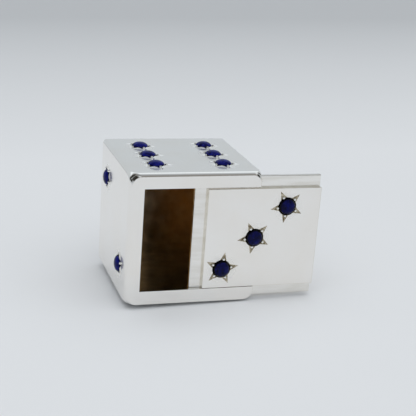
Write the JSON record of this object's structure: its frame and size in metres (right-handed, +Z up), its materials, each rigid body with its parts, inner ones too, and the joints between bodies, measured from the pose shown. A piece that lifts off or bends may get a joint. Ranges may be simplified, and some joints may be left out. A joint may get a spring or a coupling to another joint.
{
  "type": "die-shaped keepsake box",
  "caption": "Small polished metal cube box in the form of a die, with domed blue stones as pips in engraved star settings and a front lid that slides out sideways.",
  "frame": {"origin": "on the surface the box stands on (lowest point of the underside stone), under the middle of the overall box with the lid open as pictured", "axes": "+X the way the lid slides open, -Y the lid's face, +Z up"},
  "size_m": [0.0478, 0.0342, 0.0342],
  "materials": {
    "polished_silver": "polished",
    "dull_silver": "satin",
    "blue_stone": "polished"
  },
  "bodies": {
    "box": {"wall_band": "polished_silver", "back_plate": "polished_silver", "front_frame": "polished_silver", "guide_rail_top": "dull_silver", "guide_rail_bottom": "dull_silver", "guide_rail_left": "dull_silver", "stone_top_1": "blue_stone", "stone_top_2": "blue_stone", "stone_top_3": "blue_stone", "stone_top_4": "blue_stone", "stone_top_5": "blue_stone", "stone_top_6": "blue_stone", "stone_left_1": "blue_stone", "stone_left_2": "blue_stone", "stone_right_1": "blue_stone", "stone_right_2": "blue_stone", "stone_right_3": "blue_stone", "stone_right_4": "blue_stone", "stone_right_5": "blue_stone", "stone_back_1": "blue_stone", "stone_back_2": "blue_stone", "stone_back_3": "blue_stone", "stone_back_4": "blue_stone", "stone_bottom_1": "blue_stone"},
    "lid": {"lid_slide_plate": "polished_silver", "lid_face_panel": "polished_silver", "stone_lid_1": "blue_stone", "stone_lid_2": "blue_stone", "stone_lid_3": "blue_stone"}
  },
  "joints": [
    {"name": "lid_slide", "type": "slide", "parent": "box", "child": "lid", "axis": [1, 0, 0], "range_m": [-0.01475, 0.011]}
  ]
}
